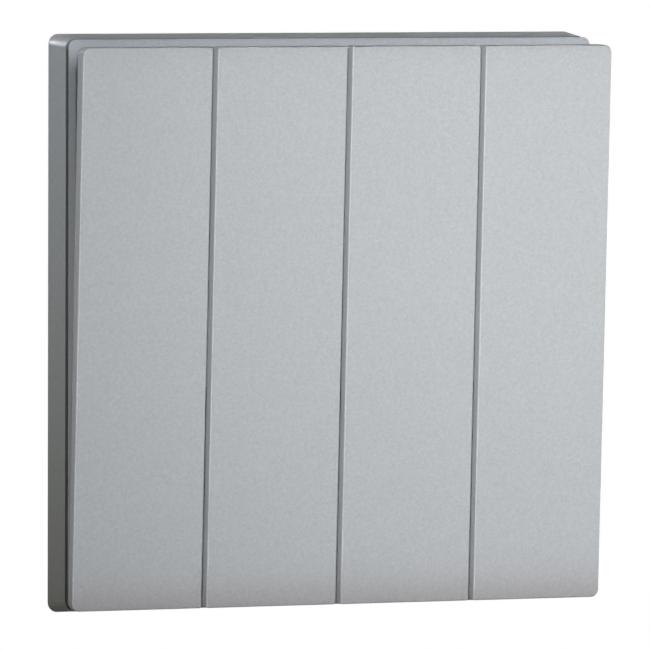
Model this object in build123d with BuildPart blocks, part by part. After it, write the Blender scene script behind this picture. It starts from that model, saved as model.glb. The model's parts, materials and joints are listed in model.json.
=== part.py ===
from build123d import *
import os
from math import atan, cos, degrees, radians, tan

# Four-gang light switch on an 86 mm square plate, in millimetres.
# The wall is the XZ plane, the front looks along -Y and +Z is up.
# A height is measured out from the wall, so what lies in the wall box has a negative height.

# Surround frame
plate_width = 86.0
surround_depth = 5.75
surround_side_draft = 0.4
surround_end_draft = 0.58
surround_corner = 1.5
surround_edge = 0.15
surround_wall = 1.8
surround_inner_corner = 1.0
web_thickness = 1.5
web_width = 2.3
pry_notch_width = 8.0
pry_notch_height = 1.2

# Front plate, a thin tray that stands off the surround by a shadow groove
front_plate_side_inset = 0.37
front_plate_end_inset = 0.74
front_plate_corner = 1.2
groove_height = 1.13
groove_depth = 0.9
lip_slope = 0.5
lip_edge = 0.15
lip_round = 0.08
rim_width = 1.18
tray_floor = 0.8
tray_opening_side = 2.0
tray_opening_end = 3.9
tray_opening_corner = 2.0
peg_radius = 0.8
peg_length = 1.2
peg_spacing = 50.0
peg_clearance = 0.05

# Keys, tilted together with the top out
key_overhang = 0.13
key_end_inset = 1.2
key_gap = 0.78
outer_key_trim = 0.22
key_face_height = 11.8
key_tilt = 2.8
key_skirt_top = 2.1
key_skirt_bottom = 1.4
key_wall = 1.2
key_face_thickness = 1.2
key_corner = 1.2
key_gap_corner = 0.3
key_edge = 0.22
rib_thickness = 1.2
leg_thickness = 1.0
leg_width = 4.0
leg_inset = 0.6
leg_clearance = 0.1
hook_reach = 0.6
hook_height = 1.0

# Cradles that carry the keys and rock in the mechanism cover
pivot_height = 0.0
gang_pitch = 12.5
block_width = 7.6
side_clearance = 0.4
arm_top = 8.9
arm_thickness = 1.6
arm_width = 3.0
arm_centre = 7.5
arm_end_inset = 1.0
outer_arm_inset = 7.2
cheek_thickness = 1.4
cheek_top_width = 9.0
cheek_round = 2.4
pivot_pin_radius = 1.5
pivot_pin_length = 1.4
running_clearance = 0.05
barrel_wall = 0.85
barrel_end = -6.5
bore_top = 5.5

# Plungers and their springs
plunger_radius = 1.7
plunger_tip = -10.0
plunger_top = -1.5
plunger_tip_round = 1.5
spring_radius = 1.25
spring_wire = 0.2
spring_turns = 5
spring_end_clearance = 0.05

# Contact rockers, seesaws that tip over a knife edge
tip_clearance = 0.3
rocker_tilt = 6.0
rocker_thickness = 0.8
rocker_lift = 0.2
rocker_upper_arm = 6.0
rocker_lower_arm = 7.6
tab_thickness = 0.4
tab_length = 2.0
tab_depth = 1.4
tab_clearance = 0.15
contact_arm = 6.0
contact_radius = 1.3
contact_thickness = 0.6
contact_chamfer = 0.2
contact_hole = 0.6
contact_head_radius = 1.0
contact_head = 0.3
contact_gap_closed = 0.08
fixed_contact_thickness = 0.65
rivet_clearance = 0.03

# Copper strips and brass terminals
strip_thickness = 0.8
strip_width = 3.6
strip_gap = 2.4
strip_overlap = 6.3
bar_width = 3.6
bar_overhang = 2.5
knife_width = 3.0
knife_root = 0.8
knife_round = 0.15
terminal_distance = 17.5
terminal_width = 7.0
terminal_height = 6.6
terminal_depth = 7.0
terminal_end_gap = 2.0
terminal_chamfer = 0.4
wire_bore_radius = 1.6
wire_bore_back = 3.4
terminal_screw_radius = 1.5
terminal_screw_length = 1.6
terminal_screw_head_radius = 2.5
terminal_screw_head = 1.3
terminal_screw_stand = 0.2
screw_clearance = 0.05
driver_slot_width = 0.6
driver_slot_depth = 0.6

# Mounting base, a flange on the wall with an opening for the contact box
fixing_spacing = 60.3
fixing_slot_width = 4.6
fixing_slot_length = 7.0
base_clearance = 1.4
base_corner = 1.0
flange_thickness = 2.2
flange_rim = 1.5
flange_rib_width = 1.0
flange_rib_height = 1.4
flange_rib_spacing = 18.0
flange_rib_gap = 0.6
flange_rib_root = 0.2
flange_edge = 0.4

# Contact box, seated on the flange by lips in front and snap hooks behind
box_wall = 1.2
box_corner = 1.5
box_edge = 0.8
box_clearance = 0.05
rear_wall = 1.6
rear_groove_length = 24.0
rear_groove_width = 1.2
rear_groove_depth = 0.5
seat_lip_width = 1.6
seat_lip_length = 40.0
seat_lip_thickness = 0.8
clip_spacing = 28.0
clip_length = 5.0
clip_reach = 0.7
clip_land = 0.4
clip_ramp = 2.4
clip_clearance = 0.05
partition_thickness = 1.2
partition_start = 4.0
bar_rest_width = 2.4
strip_rest_width = 2.4
strip_rest_length = 3.6
screw_boss_radius = 2.4
screw_boss_inset = 1.4
wire_entry_clearance = 0.5
wire_entry_taper = 25.0
screw_entry_clearance = 0.4

# Snap catches between the base and the surround
catch_spacing = 40.0
catch_length = 6.0
catch_side_gap = 0.4
catch_rib_low = 0.4
catch_rib_height = 1.0
catch_gap = 0.1
catch_lug_height = 1.3
catch_root = 0.2

# Mechanism cover with the bearing walls
cover_front = -3.4
cover_thickness = 1.4
cover_clearance = 0.1
barrel_clearance = 0.7
end_wall = 1.2
bearing_top = 2.4
bearing_foot = 8.0
bearing_head = 5.4
bearing_entry = 2.4
stop_width = 2.0
stop_length = 1.0
stop_arm = 4.0
stop_clearance = 0.1
cover_screw_radius = 1.2
cover_screw_length = 8.0
cover_screw_head_radius = 2.2
cover_screw_head = 1.3

# Widths and heights of the front that follow from the sizes above
surround_front_width = plate_width - 2 * surround_side_draft
surround_front_height = plate_width - 2 * surround_end_draft
cavity_width = surround_front_height - 2 * surround_wall
web_back = surround_depth - web_thickness
web_opening = cavity_width - 2 * web_width
front_plate_width = plate_width - 2 * front_plate_side_inset
front_plate_height = plate_width - 2 * front_plate_end_inset
front_plate_face = surround_depth + groove_height + lip_edge
neck_width = front_plate_width - 2 * groove_depth
neck_height = front_plate_height - 2 * groove_depth
tray_width = front_plate_width - 2 * rim_width
tray_height = front_plate_height - 2 * rim_width
peg_ring = (cavity_width + web_opening) / 4
base_width = cavity_width - 2 * base_clearance

# Keys from left to right, and the axis of the gang that each one works
key_height = plate_width - 2 * key_end_inset
outer_right = plate_width / 2 + key_overhang
key_share = (2 * outer_right - 3 * key_gap) / 4
inner_left = key_gap / 2
inner_right = inner_left + key_share + outer_key_trim / 2
outer_left = inner_right + key_gap
key_spans = [
    (-outer_right, -outer_left),
    (-inner_right, -inner_left),
    (inner_left, inner_right),
    (outer_left, outer_right),
]
gang_axes = [gang_pitch * step for step in (-1.5, -0.5, 0.5, 1.5)]
last_block_edge = gang_axes[-1] + block_width / 2
outer_arm_start = gang_axes[-1] - block_width / 2
outer_arm_end = outer_right - outer_arm_inset
inner_arm_end = outer_arm_start - 2 * side_clearance
arm_spans = [
    (-outer_arm_end, -outer_arm_start),
    (-inner_arm_end, -inner_left - arm_end_inset),
    (inner_left + arm_end_inset, inner_arm_end),
    (outer_arm_start, outer_arm_end),
]

# Levels in the frame of a key, counted out from its pivot
key_face = key_face_height - pivot_height
key_back = key_face - key_skirt_top
key_back_slope = degrees(atan((key_skirt_top - key_skirt_bottom) / key_height))
key_underside = key_face - key_face_thickness
arm_bottom = arm_top - arm_thickness
arm_edge = arm_centre + arm_width / 2
barrel_radius = plunger_radius + running_clearance + barrel_wall
leg_outside = arm_edge + leg_clearance + leg_thickness
tray_opening_width = 2 * (outer_arm_end + tray_opening_side)
tray_opening_height = 2 * (leg_outside + tray_opening_end)

# Levels of the contacts, strips and terminals
rocker_face = rocker_lift + rocker_thickness
fulcrum_height = pivot_height + plunger_tip - tip_clearance - rocker_face
rocker_width = knife_width + 2 * (tab_clearance + tab_thickness)
contact_reach = contact_arm + contact_radius
closed_level = (rocker_lift - contact_thickness) / cos(radians(rocker_tilt))
closed_height = fulcrum_height + closed_level - contact_reach * tan(radians(rocker_tilt))
strip_front = closed_height - contact_gap_closed - fixed_contact_thickness
strip_back = strip_front - strip_thickness
strip_start = bar_width / 2 + strip_gap
strip_end = terminal_distance - terminal_height / 2 + strip_overlap
terminal_back = strip_back - terminal_depth
wire_height = strip_back - wire_bore_back
terminal_spots = [(axis, -terminal_distance) for axis in gang_axes]
common_spot = (gang_axes[1], terminal_distance)

# Contact box and cover
cover_half_width = last_block_edge + side_clearance + end_wall
box_inner_half_width = cover_half_width + cover_clearance
box_inner_half_height = terminal_distance + terminal_height / 2 + terminal_end_gap
cover_half_height = box_inner_half_height - cover_clearance
cover_back = cover_front - cover_thickness
box_back = terminal_back - rear_wall
box_front = flange_thickness + seat_lip_thickness
box_width = 2 * (box_inner_half_width + box_wall)
box_height = 2 * (box_inner_half_height + box_wall)
seat_lip_end = box_height / 2 + seat_lip_width
cover_screw_height = box_inner_half_height - screw_boss_inset - screw_boss_radius
bearing_wall = gang_pitch - block_width - 2 * side_clearance
stop_edge = stop_arm + stop_length / 2
stop_level = rocker_face / cos(radians(rocker_tilt)) + stop_edge * tan(radians(rocker_tilt))
stop_end = fulcrum_height + stop_level + stop_clearance

# Views of the wall, the tilted frames of a key and a rocker, and the sloped rear of a key's skirt
front_view = Plane.XZ
key_frame = front_view.offset(pivot_height).rotated((key_tilt, 0, 0))
rocker_frame = front_view.offset(fulcrum_height).rotated((-rocker_tilt, 0, 0))
side_view = Plane((0, 0, 0), x_dir=(0, 0, 1), z_dir=(1, 0, 0))
key_side_view = Plane(key_frame.origin, x_dir=key_frame.y_dir, z_dir=(1, 0, 0))
underside_view = Plane.XY
outward = Axis((0, 0, 0), (0, -1, 0))
key_outward = Axis(key_frame.origin, key_frame.z_dir)
key_rear_edge = key_frame.from_local_coords((0, key_height / 2, key_back))
key_rear = Plane(key_rear_edge, x_dir=(1, 0, 0), z_dir=key_frame.z_dir).rotated((-key_back_slope, 0, 0))

os.makedirs("parts", exist_ok=True)


# Rectangles along all four sides of a square, two on each side
def side_pads(radial_low, radial_high, length, spacing):
    with PolarLocations((radial_low + radial_high) / 2, 4):
        with GridLocations(0, spacing, 1, 2):
            Rectangle(radial_high - radial_low, length)


# Surround frame: a drafted square ring with a front web and catch ribs inside
with BuildPart() as surround_frame:
    with BuildSketch(front_view):
        RectangleRounded(plate_width, plate_width, surround_corner)
    with BuildSketch(front_view.offset(surround_depth)):
        RectangleRounded(surround_front_width, surround_front_height, surround_corner)
    loft()
    fillet(surround_frame.faces().sort_by(outward)[-1].edges(), surround_edge)
    with BuildSketch(front_view):
        RectangleRounded(cavity_width, cavity_width, surround_inner_corner)
    extrude(amount=web_back, mode=Mode.SUBTRACT)
    with BuildSketch(front_view.offset(web_back)):
        RectangleRounded(web_opening, web_opening, surround_inner_corner)
        with PolarLocations(peg_ring, 4):
            with GridLocations(0, peg_spacing, 1, 2):
                Circle(peg_radius + peg_clearance)
    extrude(amount=web_thickness, mode=Mode.SUBTRACT)
    with BuildSketch(front_view.offset(catch_rib_low)):
        rib_tip = base_width / 2 + catch_side_gap
        side_pads(rib_tip, cavity_width / 2 + catch_root, catch_length, catch_spacing)
    extrude(amount=catch_rib_height)
    # Notch in the lower side where a blade lifts the surround off the base
    with BuildSketch(front_view):
        with Locations((0, -(plate_width - surround_wall) / 2)):
            Rectangle(pry_notch_width, 2 * surround_wall)
    extrude(amount=pry_notch_height, mode=Mode.SUBTRACT)
surround_frame.part.label = "surround_frame"
export_step(surround_frame.part, "parts/surround_frame.step")

# Front plate: a shallow tray whose lip overhangs the groove with a sloped underside
with BuildPart() as front_plate:
    with BuildSketch(front_view.offset(surround_depth)):
        RectangleRounded(neck_width, neck_height, front_plate_corner)
    extrude(amount=groove_height + lip_edge)
    lip_back = surround_depth + groove_height
    with BuildSketch(front_view.offset(lip_back - lip_slope)):
        RectangleRounded(neck_width, neck_height, front_plate_corner)
    with BuildSketch(front_view.offset(lip_back)):
        RectangleRounded(front_plate_width, front_plate_height, front_plate_corner)
    loft()
    with BuildSketch(front_view.offset(lip_back)):
        RectangleRounded(front_plate_width, front_plate_height, front_plate_corner)
    extrude(amount=lip_edge)
    fillet(front_plate.faces().sort_by(outward)[-1].edges(), lip_round)
    with BuildSketch(front_view.offset(surround_depth + tray_floor)):
        RectangleRounded(tray_width, tray_height, front_plate_corner)
    extrude(amount=front_plate_face - surround_depth - tray_floor, mode=Mode.SUBTRACT)
    with BuildSketch(front_view.offset(surround_depth)):
        RectangleRounded(tray_opening_width, tray_opening_height, tray_opening_corner)
    extrude(amount=tray_floor, mode=Mode.SUBTRACT)
    with BuildSketch(front_view.offset(surround_depth)):
        with PolarLocations(peg_ring, 4):
            with GridLocations(0, peg_spacing, 1, 2):
                Circle(peg_radius)
    extrude(amount=-peg_length)
front_plate.part.label = "front_plate"
export_step(front_plate.part, "parts/front_plate.step")

# Mounting base: wall flange with a stiff rim, ribs, two fixing slots and the opening for the box
with BuildPart() as mounting_base:
    with BuildSketch(front_view):
        RectangleRounded(base_width, base_width, base_corner)
    extrude(amount=web_back)
    tray_inside = base_width - 2 * flange_rim
    with BuildSketch(front_view.offset(flange_thickness)):
        RectangleRounded(tray_inside, tray_inside, base_corner)
    extrude(amount=web_back - flange_thickness, mode=Mode.SUBTRACT)
    fillet(mounting_base.faces().sort_by(outward)[0].edges(), flange_edge)
    with BuildSketch(front_view.offset(flange_thickness)):
        rib_start = seat_lip_end + flange_rib_gap
        rib_end = tray_inside / 2 + flange_rib_root
        with GridLocations(flange_rib_spacing, rib_start + rib_end, 3, 2):
            Rectangle(flange_rib_width, rib_end - rib_start)
        with GridLocations(rib_start + rib_end, 2 * flange_rib_spacing, 2, 2):
            Rectangle(rib_end - rib_start, flange_rib_width)
    extrude(amount=flange_rib_height)
    with BuildSketch(front_view.offset(catch_rib_low + catch_rib_height + catch_gap)):
        lug_tip = cavity_width / 2 - catch_side_gap
        side_pads(base_width / 2 - catch_root, lug_tip, catch_length, catch_spacing)
    extrude(amount=catch_lug_height)
    with BuildSketch(front_view):
        RectangleRounded(box_width + 2 * box_clearance, box_height + 2 * box_clearance, box_corner)
        with GridLocations(fixing_spacing, 0, 2, 1):
            SlotOverall(fixing_slot_length, fixing_slot_width)
    extrude(amount=flange_thickness, mode=Mode.SUBTRACT)
mounting_base.part.label = "mounting_base"
export_step(mounting_base.part, "parts/mounting_base.step")

# Contact box: an open moulding with lips, hooks, partitions, rests, and openings for wires and screws.
# Shallow grooves on its rear mark the gangs.
with BuildPart() as contact_box:
    with BuildSketch(front_view.offset(box_back)):
        RectangleRounded(box_width, box_height, box_corner)
    extrude(amount=box_front - box_back)
    fillet(contact_box.faces().sort_by(outward)[0].edges(), box_edge)
    with BuildSketch(front_view.offset(box_back)):
        with GridLocations(gang_pitch, 0, 3, 1):
            SlotOverall(rear_groove_length, rear_groove_width, rotation=90)
    extrude(amount=rear_groove_depth, mode=Mode.SUBTRACT)
    with BuildSketch(front_view.offset(terminal_back)):
        Rectangle(2 * box_inner_half_width, 2 * box_inner_half_height)
    extrude(amount=box_front - terminal_back, mode=Mode.SUBTRACT)
    with BuildSketch(front_view.offset(flange_thickness)):
        with GridLocations(0, box_height + seat_lip_width, 1, 2):
            Rectangle(seat_lip_length, seat_lip_width)
    extrude(amount=seat_lip_thickness)
    for clip_start in (-(clip_spacing + clip_length) / 2, (clip_spacing - clip_length) / 2):
        with BuildSketch(underside_view.offset(clip_start)):
            for side in (-1, 1):
                with BuildLine():
                    Polyline(
                        (side * box_width / 2, clip_clearance),
                        (side * (box_width / 2 + clip_reach), clip_clearance),
                        (side * (box_width / 2 + clip_reach), clip_clearance + clip_land),
                        (side * box_width / 2, clip_clearance + clip_ramp),
                        close=True,
                    )
                make_face()
        extrude(amount=clip_length)
    # Partitions between the gangs, with bosses for the cover screws
    with BuildSketch(front_view.offset(terminal_back)):
        partition_length = box_inner_half_height - partition_start
        partition_middle = partition_start + partition_length / 2
        with GridLocations(gang_pitch, 2 * partition_middle, 3, 2):
            Rectangle(partition_thickness, partition_length)
        with GridLocations(2 * gang_pitch, 2 * cover_screw_height, 2, 2):
            Circle(screw_boss_radius)
    extrude(amount=cover_back - terminal_back)
    with BuildSketch(front_view.offset(cover_back)):
        with GridLocations(2 * gang_pitch, 2 * cover_screw_height, 2, 2):
            Circle(cover_screw_radius + screw_clearance)
    extrude(amount=-cover_screw_length, mode=Mode.SUBTRACT)
    # Rests under the common bar and behind the fixed contacts
    with BuildSketch(front_view.offset(terminal_back)):
        Rectangle(2 * box_inner_half_width, bar_rest_width)
        with Locations(*[(axis, -contact_arm) for axis in gang_axes]):
            Rectangle(strip_rest_width, strip_rest_length)
    extrude(amount=strip_back - terminal_back)
    # Openings for the terminal screws and the wires
    with BuildSketch(front_view.offset(box_back)):
        with Locations(*terminal_spots, common_spot):
            Circle(terminal_screw_head_radius + screw_entry_clearance)
    extrude(amount=rear_wall, mode=Mode.SUBTRACT)
    funnel_widening = box_wall * tan(radians(wire_entry_taper))
    funnel_radius = wire_bore_radius + wire_entry_clearance + funnel_widening
    with BuildSketch(underside_view.offset(-box_height / 2)):
        with Locations(*[(axis, -wire_height) for axis in gang_axes]):
            Circle(funnel_radius)
    extrude(amount=box_wall, taper=wire_entry_taper, mode=Mode.SUBTRACT)
    with BuildSketch(underside_view.offset(box_height / 2)):
        with Locations((common_spot[0], -wire_height)):
            Circle(funnel_radius)
    extrude(amount=-box_wall, taper=wire_entry_taper, mode=Mode.SUBTRACT)
contact_box.part.label = "contact_box"
export_step(contact_box.part, "parts/contact_box.step")

# Mechanism cover: closes the contact box and carries snap-in bearings for the cradle pins
with BuildPart() as mechanism_cover:
    with BuildSketch(front_view.offset(cover_back)):
        Rectangle(2 * cover_half_width, 2 * cover_half_height)
        with Locations(*[(axis, 0) for axis in gang_axes]):
            Circle(barrel_radius + barrel_clearance, mode=Mode.SUBTRACT)
        with GridLocations(2 * gang_pitch, 2 * cover_screw_height, 2, 2):
            Circle(cover_screw_radius + screw_clearance, mode=Mode.SUBTRACT)
    extrude(amount=cover_thickness)
    wall_starts = [gang_pitch * step - bearing_wall / 2 for step in (-1, 0, 1)]
    wall_spans = [(start, bearing_wall) for start in wall_starts]
    wall_spans += [(-cover_half_width, end_wall), (cover_half_width - end_wall, end_wall)]
    for start, thickness in wall_spans:
        with BuildSketch(side_view.offset(start)):
            with BuildLine():
                Polyline(
                    (-bearing_foot / 2, cover_front),
                    (-bearing_head / 2, bearing_top),
                    (bearing_head / 2, bearing_top),
                    (bearing_foot / 2, cover_front),
                    close=True,
                )
            make_face()
            with Locations((0, pivot_height)):
                Circle(pivot_pin_radius + running_clearance, mode=Mode.SUBTRACT)
            with Locations((0, (pivot_height + bearing_top) / 2)):
                Rectangle(bearing_entry, bearing_top - pivot_height, mode=Mode.SUBTRACT)
        extrude(amount=thickness)
    # Stops that limit how far the contact arms lift off
    with BuildSketch(front_view.offset(stop_end)):
        with Locations(*[(axis, -stop_arm) for axis in gang_axes]):
            Rectangle(stop_width, stop_length)
    extrude(amount=cover_back - stop_end)
mechanism_cover.part.label = "mechanism_cover"
export_step(mechanism_cover.part, "parts/mechanism_cover.step")

# Four screws that hold the cover on its bosses
with BuildPart() as cover_screws:
    with BuildSketch(front_view.offset(cover_front)):
        with GridLocations(2 * gang_pitch, 2 * cover_screw_height, 2, 2):
            Circle(cover_screw_head_radius)
    extrude(amount=cover_screw_head)
    with BuildSketch(front_view.offset(cover_front + cover_screw_head)):
        with GridLocations(2 * gang_pitch, 2 * cover_screw_height, 2, 2):
            Rectangle(2 * cover_screw_head_radius, driver_slot_width)
    extrude(amount=-driver_slot_depth, mode=Mode.SUBTRACT)
    with BuildSketch(front_view.offset(cover_front)):
        with GridLocations(2 * gang_pitch, 2 * cover_screw_height, 2, 2):
            Circle(cover_screw_radius)
    extrude(amount=-cover_screw_length)
cover_screws.part.label = "cover_screws"
export_step(cover_screws.part, "parts/cover_screws.step")

# Common bar: one strip with a knife edge for each gang and a tail to the common terminal
with BuildPart() as common_bar:
    with BuildSketch(front_view.offset(strip_back)):
        Rectangle(2 * (gang_axes[-1] + bar_overhang), bar_width)
        with Locations((common_spot[0], strip_end / 2)):
            Rectangle(strip_width, strip_end)
    extrude(amount=strip_thickness)
    for axis in gang_axes:
        with BuildSketch(side_view.offset(axis - knife_width / 2)):
            with BuildLine():
                Polyline(
                    (-knife_root / 2, strip_front),
                    (-knife_round, fulcrum_height),
                    (knife_round, fulcrum_height),
                    (knife_root / 2, strip_front),
                    close=True,
                )
            make_face()
            with Locations((0, fulcrum_height)):
                Circle(knife_round)
        extrude(amount=knife_width)
common_bar.part.label = "common_bar"
export_step(common_bar.part, "parts/common_bar.step")


# Brass terminal block with a wire bore across it and a tapped hole from behind
def terminal_block(spot):
    across, up = spot
    with BuildPart() as block:
        with BuildSketch(front_view.offset(terminal_back)):
            with Locations(spot):
                Rectangle(terminal_width, terminal_height)
        extrude(amount=terminal_depth)
        chamfer(block.edges().filter_by(Axis.Y), terminal_chamfer)
        with BuildSketch(underside_view.offset(up - terminal_height / 2)):
            with Locations((across, -wire_height)):
                Circle(wire_bore_radius)
        extrude(amount=terminal_height, mode=Mode.SUBTRACT)
        with BuildSketch(front_view.offset(terminal_back)):
            with Locations(spot):
                Circle(terminal_screw_radius + screw_clearance)
        extrude(amount=wire_height - terminal_back, mode=Mode.SUBTRACT)
    return block.part


common_terminal = terminal_block(common_spot)
common_terminal.label = "common_terminal"
export_step(common_terminal, "parts/common_terminal.step")

# Screws of all five terminals, backed out so that the wire bores are clear
with BuildPart() as terminal_screws:
    with BuildSketch(front_view.offset(terminal_back - terminal_screw_stand)):
        with Locations(*terminal_spots, common_spot):
            Circle(terminal_screw_radius)
    extrude(amount=terminal_screw_length)
    with BuildSketch(front_view.offset(terminal_back - terminal_screw_stand)):
        with Locations(*terminal_spots, common_spot):
            Circle(terminal_screw_head_radius)
    extrude(amount=-terminal_screw_head)
    screw_back = terminal_back - terminal_screw_stand - terminal_screw_head
    with BuildSketch(front_view.offset(screw_back)):
        with Locations(*terminal_spots, common_spot):
            Rectangle(2 * terminal_screw_head_radius, driver_slot_width)
    extrude(amount=driver_slot_depth, mode=Mode.SUBTRACT)
terminal_screws.part.label = "terminal_screws"
export_step(terminal_screws.part, "parts/terminal_screws.step")

# One gang after another: its terminal, contacts, seesaw, plunger, cradle and key
for gang, axis in enumerate(gang_axes):
    number = gang + 1
    left, right = key_spans[gang]
    arm_left, arm_right = arm_spans[gang]
    rib_left = max(arm_left, left + arm_end_inset)
    rib_right = min(arm_right, right - arm_end_inset)

    terminal = terminal_block(terminal_spots[gang])
    terminal.label = f"terminal_{number}"
    export_step(terminal, f"parts/terminal_{number}.step")

    # Strip from the fixed contact down to the terminal
    with BuildPart() as contact_strip:
        with BuildSketch(front_view.offset(strip_back)):
            with Locations((axis, -(strip_start + strip_end) / 2)):
                Rectangle(strip_width, strip_end - strip_start)
            with Locations((axis, -contact_arm)):
                Circle(contact_hole, mode=Mode.SUBTRACT)
        extrude(amount=strip_thickness)
    contact_strip.part.label = f"contact_strip_{number}"
    export_step(contact_strip.part, f"parts/contact_strip_{number}.step")

    with BuildPart() as fixed_contact:
        with BuildSketch(front_view.offset(strip_front)):
            with Locations((axis, -contact_arm)):
                Circle(contact_radius)
        extrude(amount=fixed_contact_thickness)
        chamfer(fixed_contact.faces().sort_by(outward)[-1].edges(), contact_chamfer)
        with BuildSketch(front_view.offset(strip_front)):
            with Locations((axis, -contact_arm)):
                Circle(contact_hole - rivet_clearance)
        extrude(amount=-strip_thickness)
    fixed_contact.part.label = f"fixed_contact_{number}"
    export_step(fixed_contact.part, f"parts/fixed_contact_{number}.step")

    # Seesaw strip with two tabs that straddle the knife edge
    with BuildPart() as contact_rocker:
        with BuildSketch(rocker_frame.offset(rocker_lift)):
            with Locations((axis, (rocker_upper_arm - rocker_lower_arm) / 2)):
                Rectangle(rocker_width, rocker_upper_arm + rocker_lower_arm)
            with Locations((axis, -contact_arm)):
                Circle(contact_hole, mode=Mode.SUBTRACT)
        extrude(amount=rocker_thickness)
        with BuildSketch(rocker_frame.offset(rocker_lift)):
            with Locations((axis, 0)):
                with GridLocations(rocker_width - tab_thickness, 0, 2, 1):
                    Rectangle(tab_thickness, tab_length)
        extrude(amount=-tab_depth)
    contact_rocker.part.label = f"contact_rocker_{number}"
    export_step(contact_rocker.part, f"parts/contact_rocker_{number}.step")

    with BuildPart() as moving_contact:
        with BuildSketch(rocker_frame.offset(rocker_lift - contact_thickness)):
            with Locations((axis, -contact_arm)):
                Circle(contact_radius)
        extrude(amount=contact_thickness)
        with BuildSketch(rocker_frame.offset(rocker_lift)):
            with Locations((axis, -contact_arm)):
                Circle(contact_hole - rivet_clearance)
        extrude(amount=rocker_thickness)
        with BuildSketch(rocker_frame.offset(rocker_face)):
            with Locations((axis, -contact_arm)):
                Circle(contact_head_radius)
        extrude(amount=contact_head)
    moving_contact.part.label = f"moving_contact_{number}"
    export_step(moving_contact.part, f"parts/moving_contact_{number}.step")

    # Round-nosed plunger that the spring pushes out of the cradle's barrel
    with BuildPart() as plunger:
        with BuildSketch(key_frame.offset(plunger_tip)):
            with Locations((axis, 0)):
                Circle(plunger_radius)
        extrude(amount=plunger_top - plunger_tip)
        fillet(plunger.faces().sort_by(key_outward)[0].edges(), plunger_tip_round)
    plunger.part.label = f"plunger_{number}"
    export_step(plunger.part, f"parts/plunger_{number}.step")

    with BuildPart() as plunger_spring:
        spring_seat = plunger_top + spring_wire + spring_end_clearance
        spring_length = bore_top - spring_wire - spring_end_clearance - spring_seat
        spring_frame = key_frame.offset(spring_seat)
        with BuildLine() as coil:
            Helix(
                pitch=spring_length / spring_turns,
                height=spring_length,
                radius=spring_radius,
                center=spring_frame.from_local_coords((axis, 0, 0)),
                direction=key_frame.z_dir,
            )
        with BuildSketch(Plane(coil.line @ 0, z_dir=coil.line % 0)):
            Circle(spring_wire)
        sweep(path=coil.line, is_frenet=True)
    plunger_spring.part.label = f"plunger_spring_{number}"
    export_step(plunger_spring.part, f"parts/plunger_spring_{number}.step")

    # Cradle: two arms under the key, joined over cheeks with pivot pins and a barrel
    with BuildPart() as key_cradle:
        with BuildSketch(key_frame.offset(arm_bottom)):
            with Locations(((arm_left + arm_right) / 2, 0)):
                with GridLocations(0, 2 * arm_centre, 1, 2):
                    Rectangle(arm_right - arm_left, arm_width)
            with Locations((axis, 0)):
                Rectangle(block_width, 2 * arm_edge)
        extrude(amount=arm_thickness)
        for side in (-1, 1):
            cheek_middle = axis + side * (block_width - cheek_thickness) / 2
            with BuildSketch(key_side_view.offset(cheek_middle)):
                with BuildLine():
                    Polyline(
                        (-cheek_top_width / 2, arm_bottom),
                        (-cheek_round, 0),
                        (cheek_round, 0),
                        (cheek_top_width / 2, arm_bottom),
                        close=True,
                    )
                make_face()
                Circle(cheek_round)
            extrude(amount=cheek_thickness / 2, both=True)
            pin_start = axis + side * block_width / 2
            with BuildSketch(key_side_view.offset(pin_start)):
                Circle(pivot_pin_radius)
            extrude(amount=side * pivot_pin_length)
        with BuildSketch(key_frame.offset(barrel_end)):
            with Locations((axis, 0)):
                Circle(barrel_radius)
        extrude(amount=arm_bottom - barrel_end)
        with BuildSketch(key_frame.offset(barrel_end)):
            with Locations((axis, 0)):
                Circle(plunger_radius + running_clearance)
        extrude(amount=bore_top - barrel_end, mode=Mode.SUBTRACT)
    key_cradle.part.label = f"key_cradle_{number}"
    export_step(key_cradle.part, f"parts/key_cradle_{number}.step")

    # Key: a thin tray, deeper at its top, with cross ribs on the cradle's arms and legs that snap over them
    with BuildPart() as key:
        with BuildSketch(key_frame.offset(key_back)) as outline:
            with Locations(((left + right) / 2, 0)):
                Rectangle(right - left, key_height)
            left_radius = key_corner if number == 1 else key_gap_corner
            right_radius = key_corner if number == len(gang_axes) else key_gap_corner
            fillet(outline.vertices().group_by(Axis.X)[0], left_radius)
            fillet(outline.vertices().group_by(Axis.X)[-1], right_radius)
        extrude(amount=key_skirt_top)
        fillet(key.faces().sort_by(key_outward)[-1].edges(), key_edge)
        split(bisect_by=key_rear, keep=Keep.TOP)
        with BuildSketch(key_frame.offset(key_back)):
            with Locations(((left + right) / 2, 0)):
                Rectangle(right - left - 2 * key_wall, key_height - 2 * key_wall)
        extrude(amount=key_underside - key_back, mode=Mode.SUBTRACT)
        with BuildSketch(key_frame.offset(arm_top)):
            with Locations(((rib_left + rib_right) / 2, 0)):
                with GridLocations(0, 2 * arm_centre, 1, 2):
                    Rectangle(rib_right - rib_left, rib_thickness)
        extrude(amount=key_underside - arm_top)
        leg_spread = rib_right - rib_left - 2 * leg_inset - leg_width
        leg_centre = leg_outside - leg_thickness / 2
        hook_top = arm_bottom - leg_clearance
        with BuildSketch(key_frame.offset(hook_top - hook_height)):
            with Locations(((rib_left + rib_right) / 2, 0)):
                with GridLocations(leg_spread, 2 * leg_centre, 2, 2):
                    Rectangle(leg_width, leg_thickness)
        extrude(amount=key_underside - hook_top + hook_height)
        with BuildSketch(key_frame.offset(hook_top - hook_height)):
            with Locations(((rib_left + rib_right) / 2, 0)):
                with GridLocations(leg_spread, 2 * (arm_edge + leg_clearance) - hook_reach, 2, 2):
                    Rectangle(leg_width, hook_reach)
        extrude(amount=hook_height)
    key.part.label = f"key_{number}"
    export_step(key.part, f"parts/key_{number}.step")
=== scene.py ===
import json
import math

import bpy
import bmesh
from mathutils import Matrix, Vector


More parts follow.
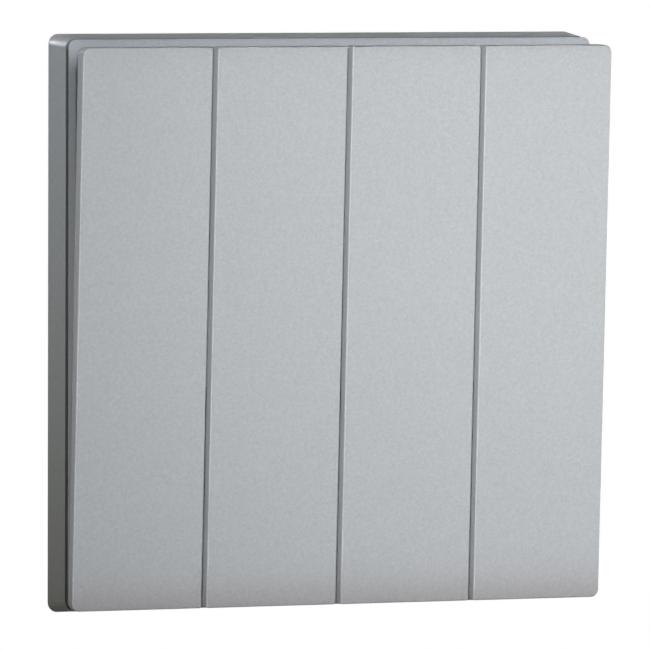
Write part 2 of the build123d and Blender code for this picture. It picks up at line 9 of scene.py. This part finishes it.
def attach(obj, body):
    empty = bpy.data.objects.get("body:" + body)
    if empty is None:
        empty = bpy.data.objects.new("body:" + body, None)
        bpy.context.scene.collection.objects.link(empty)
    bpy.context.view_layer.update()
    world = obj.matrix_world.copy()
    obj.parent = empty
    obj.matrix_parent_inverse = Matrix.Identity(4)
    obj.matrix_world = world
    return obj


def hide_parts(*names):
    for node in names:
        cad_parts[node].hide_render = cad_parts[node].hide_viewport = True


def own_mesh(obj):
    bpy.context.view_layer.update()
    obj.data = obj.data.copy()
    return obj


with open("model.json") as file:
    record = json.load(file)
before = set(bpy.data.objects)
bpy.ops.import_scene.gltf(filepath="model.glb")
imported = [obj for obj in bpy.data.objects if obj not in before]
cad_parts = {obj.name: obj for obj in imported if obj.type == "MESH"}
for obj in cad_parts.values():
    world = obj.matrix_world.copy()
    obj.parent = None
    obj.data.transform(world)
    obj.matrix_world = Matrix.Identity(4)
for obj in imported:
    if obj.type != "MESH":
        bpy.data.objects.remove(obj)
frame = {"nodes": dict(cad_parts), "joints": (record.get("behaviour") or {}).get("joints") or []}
nodes = frame["nodes"]
joints = {joint["name"]: joint for joint in frame["joints"]}
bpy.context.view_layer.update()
gangNumbers = (1, 2, 3, 4)
white = (1.0, 1.0, 1.0)
print("frame loaded with", len(nodes), "nodes")


class Signal:
    # an output socket that takes part in sums, where each operator adds a Math node
    def __init__(self, socket):
        self.socket = socket

    def joined(self, operation, first, second):
        tree = self.socket.id_data
        made = tree.nodes.new("ShaderNodeMath")
        made.operation = operation
        for place, value in enumerate((first, second)):
            if isinstance(value, Signal):
                tree.links.new(value.socket, made.inputs[place])
            else:
                made.inputs[place].default_value = value
        return Signal(made.outputs[0])

    def __add__(self, other):
        return self.joined("ADD", self, other)

    def __radd__(self, other):
        return self.joined("ADD", other, self)

    def __sub__(self, other):
        return self.joined("SUBTRACT", self, other)

    def __rsub__(self, other):
        return self.joined("SUBTRACT", other, self)

    def __mul__(self, other):
        return self.joined("MULTIPLY", self, other)

    def __rmul__(self, other):
        return self.joined("MULTIPLY", other, self)

    def __pow__(self, other):
        return self.joined("POWER", self, other)

    def __rpow__(self, other):
        return self.joined("POWER", other, self)


class Board:
    # a node tree with one way of adding nodes: type, settings, then socket values or links
    def __init__(self, tree):
        self.tree = tree
        self.tree.nodes.clear()

    def add(self, kind, settings=None, sockets=None, output=0):
        made = self.tree.nodes.new(kind)
        for name, value in (settings or {}).items():
            if name == "stops":
                self.setStops(made.color_ramp, value)
            else:
                setattr(made, name, value)
        for name, value in (sockets or {}).items():
            if isinstance(value, Signal):
                self.tree.links.new(value.socket, made.inputs[name])
            else:
                made.inputs[name].default_value = value
        if made.outputs:
            return Signal(made.outputs[output])
        return None

    def setStops(self, ramp, stops):
        while len(ramp.elements) < len(stops):
            ramp.elements.new(1.0)
        for element, (place, level) in zip(ramp.elements, stops):
            element.position = place
            element.color = (level, level, level, 1.0)

    def layered(self, share, under, over):
        return self.add("ShaderNodeMixShader", sockets={0: share, 1: under, 2: over})


class Finish(Board):
    # a material whose patterns lie on Object coordinates, in metres
    def __init__(self, name):
        self.material = bpy.data.materials.new(name)
        self.material.use_nodes = True
        super().__init__(self.material.node_tree)
        self.place = self.add("ShaderNodeTexCoord", output="Object")

    def stretched(self, scale):
        return self.add("ShaderNodeMapping", sockets={"Vector": self.place, "Scale": scale})

    def noise(self, size, detail, vector=None):
        sockets = {"Vector": vector or self.place, "Scale": 1.0 / size, "Detail": detail}
        return self.add("ShaderNodeTexNoise", sockets=sockets, output="Fac")

    def flakes(self, size):
        sockets = {"Vector": self.place, "Scale": 1.0 / size}
        colour = self.add("ShaderNodeTexVoronoi", sockets=sockets, output="Color")
        return self.add("ShaderNodeSeparateColor", sockets={"Color": colour}, output="Red")

    def between(self, first, second, share):
        ends = [end if isinstance(end, Signal) else (*end, 1.0) for end in (first, second)]
        sockets = {0: share, 6: ends[0], 7: ends[1]}  # the colours follow the numbers and vectors
        return self.add("ShaderNodeMix", {"data_type": "RGBA"}, sockets, output=2)

    def along(self, axis):
        return self.add("ShaderNodeSeparateXYZ", sockets={"Vector": self.place}, output=axis)

    def ramp(self, axis, limits):
        ends = dict(zip(("From Min", "From Max"), limits))
        return self.add("ShaderNodeMapRange", sockets={"Value": self.along(axis), **ends})

    def tinted(self, tint):
        return self.add("ShaderNodeBsdfTransparent", sockets={"Color": (*tint, 1.0)})

    def bumped(self, height, depth):
        return self.add("ShaderNodeBump", sockets={"Height": height, "Distance": depth})

    def close(self, surface):
        self.add("ShaderNodeOutputMaterial", sockets={"Surface": surface})
        return self.material

    def painted(self, sockets):
        return self.close(self.add("ShaderNodeBsdfPrincipled", sockets=sockets))


def shade(colour, factor):
    return tuple(min(1.0, channel * factor) for channel in colour)


def dress(material, *names):
    for name in names:
        slots = nodes[name].data.materials
        slots.clear()
        slots.append(material)


def gangs(stem):
    return [f"{stem}_{number}" for number in gangNumbers]


# Silver lacquer: fine metal flakes in a matt binder, with a very fine orange peel
keyLook = {
    "silver": (0.502, 0.525, 0.543),
    "flakeSize": 0.00020,
    "flakeSpread": 0.07,
    "mottleSize": 0.00065,
    "mottleDetail": 2.0,
    "mottleSpread": 0.07,
    "cloudSize": 0.014,
    "cloudDetail": 3.0,
    "cloudSpread": 0.016,
    "metallic": 0.06,
    "metallicSwing": 0.10,  # from flake to flake
    "specular": 0.22,
    "roughness": 0.60,
    "roughnessSwing": 0.12,
    "peelSize": 0.00030,
    "peelDetail": 1.0,
    "peelDepth": 0.000004,
}
# painted shade: the plate's silver is a darker copy of the key silver, standing for the shade the
# keys cast on it
plateShadedLook = {**keyLook, "silver": (0.420, 0.454, 0.487)}
# painted shade: the surround's front face, behind the plate, is coloured dark to stand for the shade
# in the groove
surroundLook = {
    **keyLook,
    "silver": (0.495, 0.523, 0.547),
    "flakeSpread": 0.05,
    "specular": 0.02,
    "shadeFrom": -0.00568,
    "grooveShade": (0.072, 0.073, 0.074),
    "shadeEaseLimits": (0.0405, 0.0425),  # the painted groove shade is lighter along the top, where more light reaches it
    "shadeEaseShare": 0.38,
}


def silverLacquer(name, look):
    paint = Finish(name)
    flake = paint.flakes(look["flakeSize"])
    mottle = paint.noise(look["mottleSize"], look["mottleDetail"])
    cloud = paint.noise(look["cloudSize"], look["cloudDetail"])
    spreads = [look[part + "Spread"] for part in ("flake", "mottle", "cloud")]
    spread = sum(spreads)
    mixed = flake * spreads[0] + mottle * spreads[1] + cloud * spreads[2]
    colour = paint.between(
        shade(look["silver"], 1 - spread),
        shade(look["silver"], 1 + spread),
        mixed * (1 / spread),
    )
    # painted shade in the groove: the surround's front face is darkened, less so along the top
    if "shadeFrom" in look:
        ends = {0: paint.along("Y"), 1: look["shadeFrom"]}
        shadeMask = paint.add("ShaderNodeMath", {"operation": "LESS_THAN"}, ends)
        shadeEase = paint.ramp("Z", look["shadeEaseLimits"]) * look["shadeEaseShare"]
        colour = paint.between(colour, look["grooveShade"], shadeMask * (1 - shadeEase))
    peel = paint.noise(look["peelSize"], look["peelDetail"])
    swing = flake - 0.5
    return paint.painted({
        "Base Color": colour,
        "Metallic": look["metallic"] + swing * look["metallicSwing"],
        "Specular IOR Level": look["specular"],
        "Roughness": look["roughness"] + swing * look["roughnessSwing"],
        "Normal": paint.bumped(peel, look["peelDepth"]),
    })


dress(silverLacquer("keySilver", keyLook), *gangs("key"))
dress(silverLacquer("plateSilver", plateShadedLook), "front_plate")
dress(silverLacquer("surroundSilver", surroundLook), "surround_frame")
print("silver pieces painted")


# Moulded plastics: spark-eroded texture with faint flow marks
mouldedMarks = {
    "grainDetail": 3.0,
    "grainShare": 0.4,
    "flowSize": 0.011,
    "flowDetail": 4.0,
    "flowShare": 0.6,
    "tone": 0.05,  # how far the marks lighten and darken the colour
    "roughnessSwing": 0.12,
}
mouldedLooks = {
    "basePlastic": {
        "nodes": ["mounting_base", "contact_box"],
        "colour": (0.60, 0.61, 0.60),
        "grainSize": 0.00028,
        "grainDepth": 0.000010,
        "roughness": 0.50,
    },
    "coverPlastic": {
        "nodes": ["mechanism_cover"],
        "colour": (0.30, 0.31, 0.32),
        "grainSize": 0.00028,
        "grainDepth": 0.000008,
        "roughness": 0.52,
    },
    "cradleNylon": {
        "nodes": gangs("key_cradle"),
        "colour": (0.68, 0.68, 0.65),
        "grainSize": 0.00035,
        "grainDepth": 0.000005,
        "roughness": 0.40,
    },
    "plungerNylon": {
        "nodes": gangs("plunger"),
        "colour": (0.75, 0.74, 0.70),
        "grainSize": 0.00030,
        "grainDepth": 0.000003,
        "roughness": 0.35,
    },
}


def mouldedPlastic(name, look, marks):
    plastic = Finish(name)
    grain = plastic.noise(look["grainSize"], marks["grainDetail"])
    flow = plastic.noise(marks["flowSize"], marks["flowDetail"])
    colour = plastic.between(
        shade(look["colour"], 1 - marks["tone"]),
        shade(look["colour"], 1 + marks["tone"]),
        grain * marks["grainShare"] + flow * marks["flowShare"],
    )
    return plastic.painted({
        "Base Color": colour,
        "Roughness": look["roughness"] + (flow - 0.5) * marks["roughnessSwing"],
        "Normal": plastic.bumped(grain, look["grainDepth"]),
    })


for plasticName, plasticLook in mouldedLooks.items():
    dress(mouldedPlastic(plasticName, plasticLook, mouldedMarks), *plasticLook["nodes"])
print("plastic pieces dressed")


# Metals: rolled, turned or drawn, so the fine lines run one way
metalMarks = {
    "lineSize": 0.00012,
    "lineDetail": 2.0,
    "lineDepth": 0.000004,
    "stainSize": 0.0035,
    "stainDetail": 4.0,
    "stainStops": [(0.52, 0.0), (0.78, 1.0)],
    "roughnessSwing": 0.25,
}
metalLooks = {
    "stripCopper": {
        "nodes": ["common_bar", *gangs("contact_strip"), *gangs("contact_rocker")],
        "colour": (0.72, 0.36, 0.22),
        "stain": (0.45, 0.20, 0.12),
        "lines": (1.0, 1.0, 0.04),
        "roughness": 0.32,
    },
    "contactSilver": {
        "nodes": gangs("moving_contact") + gangs("fixed_contact"),
        "colour": (0.78, 0.77, 0.74),
        "stain": (0.58, 0.56, 0.52),
        "lines": (1.0, 0.3, 1.0),
        "roughness": 0.26,
    },
    "terminalBrass": {
        "nodes": ["common_terminal", *gangs("terminal")],
        "colour": (0.68, 0.50, 0.22),
        "stain": (0.48, 0.34, 0.14),
        "lines": (0.06, 1.0, 1.0),
        "roughness": 0.30,
    },
    "screwSteel": {
        "nodes": ["cover_screws", "terminal_screws"],
        "colour": (0.56, 0.56, 0.55),
        "stain": (0.42, 0.42, 0.38),
        "lines": (1.0, 0.2, 1.0),
        "roughness": 0.30,
    },
    "springSteel": {
        "nodes": gangs("plunger_spring"),
        "colour": (0.50, 0.51, 0.53),
        "stain": (0.40, 0.40, 0.42),
        "lines": (1.0, 1.0, 1.0),
        "roughness": 0.28,
    },
}


def workedMetal(name, look, marks):
    metal = Finish(name)
    lines = metal.noise(marks["lineSize"], marks["lineDetail"], metal.stretched(look["lines"]))
    stain = metal.noise(marks["stainSize"], marks["stainDetail"])
    share = metal.add("ShaderNodeValToRGB", {"stops": marks["stainStops"]}, {"Fac": stain})
    return metal.painted({
        "Base Color": metal.between(look["colour"], look["stain"], share),
        "Metallic": 1.0,
        "Roughness": look["roughness"] + (lines - 0.5) * marks["roughnessSwing"],
        "Normal": metal.bumped(lines, marks["lineDepth"]),
    })


for metalName, metalLook in metalLooks.items():
    dress(workedMetal(metalName, metalLook, metalMarks), *metalLook["nodes"])
print("metal pieces dressed")


# Plunger springs, coiled afresh in place of the model's springs, each carried by its key
springLook = {
    "wire": 0.0002,  # radius
    "coilRadius": 0.00125,
    "turns": 5,
    "stepsPerTurn": 24,
    "wireSides": 10,
    "reach": (-0.00125, 0.00525),  # both ends, out from the key's pivot
    "seat": 0.0055,  # the closed end of the cradle's bore
    "keep": 0.85,
    "finish": "springSteel",
    "slot": "spring_steel",
}


def addMesh(name, shape, material):
    mesh = bpy.data.meshes.new(name)
    shape.to_mesh(mesh)
    shape.free()
    mesh.materials.append(material)
    piece = bpy.data.objects.new(name, mesh)
    bpy.context.scene.collection.objects.link(piece)
    return piece


def makeSpring(number, look):
    slide = f"plunger_{number}_slide"
    pivot = Vector(joints[f"key_{number}_rock"]["pos_m"])
    outward = Vector(joints[slide]["axis"]).normalized()
    inner, outer = look["reach"]
    steps = look["turns"] * look["stepsPerTurn"]
    shape = bmesh.new()
    bmesh.ops.create_circle(shape, segments=look["wireSides"], radius=look["wire"])
    upright = Matrix.Rotation(math.pi / 2, 3, "X")
    bmesh.ops.rotate(shape, cent=(0.0, 0.0, 0.0), matrix=upright, verts=shape.verts)
    bmesh.ops.translate(shape, vec=(look["coilRadius"], 0.0, 0.0), verts=shape.verts)
    bmesh.ops.spin(
        shape,
        geom=shape.verts[:] + shape.edges[:],
        cent=(0.0, 0.0, 0.0),
        axis=(0.0, 0.0, 1.0),
        dvec=(0.0, 0.0, (outer - inner) / steps),
        angle=2 * math.pi * look["turns"],
        steps=steps,
    )
    openEnds = [edge for edge in shape.edges if edge.is_boundary]
    bmesh.ops.holes_fill(shape, edges=openEnds, sides=0)
    bmesh.ops.recalc_face_normals(shape, faces=shape.faces)
    turn = outward.to_track_quat("Z", "X").to_matrix().to_4x4()
    seated = Matrix.Translation(pivot + outward * inner) @ turn
    bmesh.ops.transform(shape, matrix=seated, verts=shape.verts)
    for face in shape.faces:
        face.smooth = len(face.verts) == 4  # the cut ends stay flat
    coil = addMesh(f"plungerCoil{number}", shape, bpy.data.materials[look["finish"]])
    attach(coil, f"key_{number}")
    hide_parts(f"plunger_spring_{number}")
    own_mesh(coil)


for gang in gangNumbers:
    makeSpring(gang, springLook)
print("springs coiled")


# Pale floor and white surroundings; eyes, gloss and glass see white, the rest sees a dimmer room
stageLook = {
    "floorLevel": -0.12,
    "floorSize": 12.0,
    "floorColour": (0.80, 0.80, 0.80),  # as it is seen
    "bounceColour": (0.03, 0.03, 0.03),  # as it lights the switch from below
    "nearWhite": 0.5,  # share of white where the shadow lies
    "shadowReach": 0.30,  # the floor shows its shadow this far out, then fades to white
    "whiteReach": 0.75,
    "roomColour": (0.92, 0.96, 1.00),
    "roomStrength": 0.04,
}


def seesWhite(board):
    camera, glossy, through = [
        board.add("ShaderNodeLightPath", output=f"Is {ray} Ray")
        for ray in ("Camera", "Glossy", "Transmission")
    ]
    either = board.add("ShaderNodeMath", {"operation": "MAXIMUM"}, {0: camera, 1: glossy})
    return board.add("ShaderNodeMath", {"operation": "MAXIMUM"}, {0: either, 1: through})


def makeFloor(look):
    pale = Finish("paleFloor")
    seen = seesWhite(pale)
    matt = [
        pale.add("ShaderNodeBsdfDiffuse", sockets={"Color": (*look[side], 1.0)})
        for side in ("bounceColour", "floorColour")
    ]
    glow = pale.add("ShaderNodeEmission", sockets={"Color": (*white, 1.0)})
    fade = {
        "Value": pale.add("ShaderNodeVectorMath", {"operation": "LENGTH"}, {0: pale.place}, "Value"),
        "From Min": look["shadowReach"],
        "From Max": look["whiteReach"],
        "To Min": look["nearWhite"],
    }
    far = pale.add("ShaderNodeMapRange", {"interpolation_type": "SMOOTHSTEP"}, fade)
    pale.close(pale.layered(seen * far, pale.layered(seen, *matt), glow))
    shape = bmesh.new()
    bmesh.ops.create_grid(shape, x_segments=1, y_segments=1, size=look["floorSize"] / 2)
    bmesh.ops.translate(shape, vec=(0.0, 0.0, look["floorLevel"]), verts=shape.verts)
    addMesh("floor", shape, pale.material)


def makeRoom(look):
    world = bpy.data.worlds.new("room")
    world.use_nodes = True
    bpy.context.scene.world = world
    room = Board(world.node_tree)
    dim = {"Color": (*look["roomColour"], 1.0), "Strength": look["roomStrength"]}
    bright = {"Color": (*white, 1.0), "Strength": 1.0}
    sides = [room.add("ShaderNodeBackground", sockets=side) for side in (dim, bright)]
    mixed = room.layered(seesWhite(room), *sides)
    room.add("ShaderNodeOutputWorld", sockets={"Surface": mixed})


makeFloor(stageLook)
makeRoom(stageLook)

# Soft boxes in watts and metres, each aimed at a point; a grid narrows the spread of some, in degrees
softBoxes = {
    "cameraSide": {
        "place": (-0.52, -1.09, 0.19),
        "aim": (0.065, -0.01, 0.025),
        "size": (0.20, 0.20),
        "spread": 18.0,
        "watts": 0.252,
    },
    "rightSide": {
        "place": (0.95, 0.20, -0.02),
        "aim": (0.04, 0.0, 0.0),
        "size": (0.50, 0.16),
        "watts": 6.0,
    },
    "leftSide": {  # only the contact box's left side
        "place": (-0.263, 0.0945, 0.0),
        "aim": (-0.027, 0.012, 0.0),
        "size": (0.021, 0.090),
        "spread": 1.0,
        "watts": 0.0030,
    },
    "cornerEdge": {  # the glint on the surround's upper left corner
        "place": (-0.0609, -0.0024, 0.0502),
        "aim": (-0.0428, -0.0028, 0.0417),
        "size": (0.0050, 0.0005),
        "spread": 1.0,
        "watts": 0.0000076,
    },
    "rear": {
        "place": (0.62, 1.03, -0.02),
        "aim": (0.0, 0.0, 0.0),
        "size": (0.60, 0.16),
        "watts": 6.5,
    },
    "overhead": {
        "place": (0.0, 0.10, 1.20),
        "aim": (0.0, 0.0, 0.0),
        "size": (0.30, 0.30),
        "watts": 10.0,
    },
}


def makeSoftBox(name, look):
    lamp = bpy.data.lights.new(name, "AREA")
    lamp.shape = "RECTANGLE"
    lamp.size, lamp.size_y = look["size"]
    lamp.energy = look["watts"]
    if "spread" in look:
        lamp.spread = math.radians(look["spread"])
    box = bpy.data.objects.new(name, lamp)
    toward = Vector(look["aim"]) - Vector(look["place"])
    turn = toward.to_track_quat("-Z", "Y").to_matrix().to_4x4()
    box.matrix_world = Matrix.Translation(look["place"]) @ turn
    box.visible_camera = False
    bpy.context.scene.collection.objects.link(box)


for boxName, boxLook in softBoxes.items():
    makeSoftBox(boxName, boxLook)

# Gels out of sight hold light back; a graduated one goes from its first tint to its last
gels = {
    "beforeFeet": {
        "low": (-0.060, -0.020, -0.056),
        "high": (0.060, -0.020, -0.028),
        "tints": [white, (0.683, 0.602, 0.598)],
        "along": "Z",
        "limits": (-0.0325, -0.0415),
        "curve": 2.0,
    },
    "beforeHeads": {
        "low": (-0.0475, -0.022, 0.039),
        "high": (0.060, -0.022, 0.056),
        "tints": [white, (0.885, 0.885, 0.885)],
        "along": "Z",
        "limits": (0.0402, 0.0434),
    },
    "besideFrame": {
        "low": (-0.0750, -0.0063, -0.050),
        "high": (-0.04262, -0.0063, 0.050),
        "tints": [white, (0.40, 0.38, 0.30)],
        "along": "Z",
        "limits": (0.044, -0.044),
    },
    "beforeRim": {
        "low": (-0.0430, -0.00735, -0.0425),
        "high": (-0.0405, -0.00735, 0.0410),
        "tints": [(0.46, 0.46, 0.46), (0.16, 0.16, 0.15)],
        "along": "X",
        "limits": (-0.0419, -0.0415),
        "fade": (0.0407, 0.0377),  # clear at its upper end
    },
    "overFrame": {  # flat, under the overhead box
        "low": (-0.047, -0.022, 0.050),
        "high": (0.047, 0.0015, 0.050),
        "tints": [(0.15, 0.15, 0.15)],
    },
}


def makeGel(name, look):
    sheet = Finish(name + "Film")
    surface = sheet.tinted(look["tints"][-1])
    if "along" in look:
        share = sheet.ramp(look["along"], look["limits"]) ** look.get("curve", 1.0)
        surface = sheet.layered(share, sheet.tinted(look["tints"][0]), surface)
    if "fade" in look:
        surface = sheet.layered(sheet.ramp("Z", look["fade"]), sheet.tinted(white), surface)
    low, high = look["low"], look["high"]
    outline = [low, (high[0], *low[1:]), high, (low[0], *high[1:])]
    shape = bmesh.new()
    bmesh.ops.contextual_create(shape, geom=[shape.verts.new(corner) for corner in outline])
    gel = addMesh(name, shape, sheet.close(surface))
    gel.visible_camera = False


for gelName, gelLook in gels.items():
    makeGel(gelName, gelLook)
print("floor, room, soft boxes and gels in place")

# Camera as the photograph was taken, with pixels in its 650 x 650 frame
photoCamera = {
    "imageSize": 650,
    "target": (0.0, -0.008, 0.0),
    "targetPixel": (334.155, 321.167),
    "azimuth": -24.100,
    "elevation": 2.547,
    "roll": 0.150,
    "distance": 1.58,
    "focalPixels": 10566.9,
    "sensor": 36.0,
}


def makeCamera(look):
    azimuth = math.radians(look["azimuth"])
    elevation = math.radians(look["elevation"])
    back = Vector((
        math.sin(azimuth) * math.cos(elevation),
        -math.cos(azimuth) * math.cos(elevation),
        math.sin(elevation),
    ))
    level = Vector((0.0, 0.0, 1.0)).cross(back).normalized()
    right = Matrix.Rotation(math.radians(look["roll"]), 3, back) @ level
    up = back.cross(right)
    metresPerPixel = look["distance"] / look["focalPixels"]
    centre = look["imageSize"] / 2
    across = (look["targetPixel"][0] - centre) * metresPerPixel
    above = (centre - look["targetPixel"][1]) * metresPerPixel
    place = Vector(look["target"]) + back * look["distance"] - right * across - up * above
    lens = bpy.data.cameras.new("photoCamera")
    lens.sensor_width = look["sensor"]
    lens.lens = look["sensor"] * look["focalPixels"] / look["imageSize"]
    camera = bpy.data.objects.new("photoCamera", lens)
    axes = Matrix((right, up, back)).transposed().to_4x4()
    camera.matrix_world = Matrix.Translation(place) @ axes
    bpy.context.scene.collection.objects.link(camera)
    bpy.context.scene.camera = camera


makeCamera(photoCamera)
bpy.context.scene.view_settings.view_transform = "Standard"
print("camera set")
